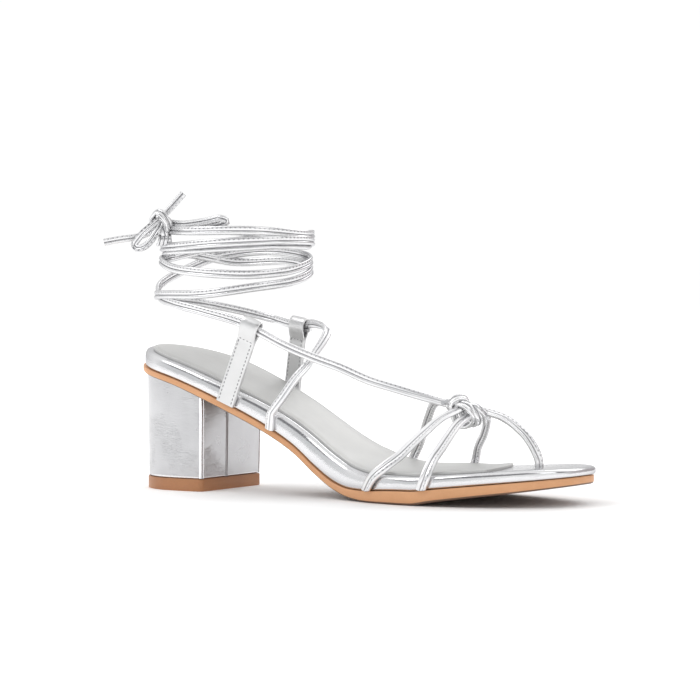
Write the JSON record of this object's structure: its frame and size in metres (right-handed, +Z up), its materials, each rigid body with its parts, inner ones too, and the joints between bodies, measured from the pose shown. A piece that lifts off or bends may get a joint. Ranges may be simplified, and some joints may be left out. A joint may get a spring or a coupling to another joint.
{
  "type": "heeled sandal",
  "caption": "Strappy block-heeled sandal with a knotted vamp, a toe thong and thin ties wound round the ankle and tied in a bow.",
  "frame": {"origin": "on the floor, under the middle of the heel tip", "axes": "+X from the heel to the toe, +Z up, +Y to the medial (big-toe) side of a right foot"},
  "size_m": [0.2446, 0.0882, 0.1463],
  "materials": {
    "outsole": "satin tan sole sheet",
    "foil": "glossy silver foil leather",
    "sock": "satin pale silver lining",
    "heel_foil": "crinkled silver foil leather",
    "tip": "satin brown top piece",
    "strap": "soft metallic silver leather"
  },
  "bodies": {
    "root": {"outsole": "outsole", "footbed": "foil", "sock_lining": "sock", "heel_block": "heel_foil", "heel_tip": "tip", "vamp_straps": "strap", "lateral_loop": "strap", "medial_loop": "strap", "ankle_ties": "strap", "bow_knot": "strap", "bow_loop_front": "strap", "bow_loop_back": "strap", "tie_end_up": "strap", "tie_end_down": "strap"}
  },
  "joints": []
}
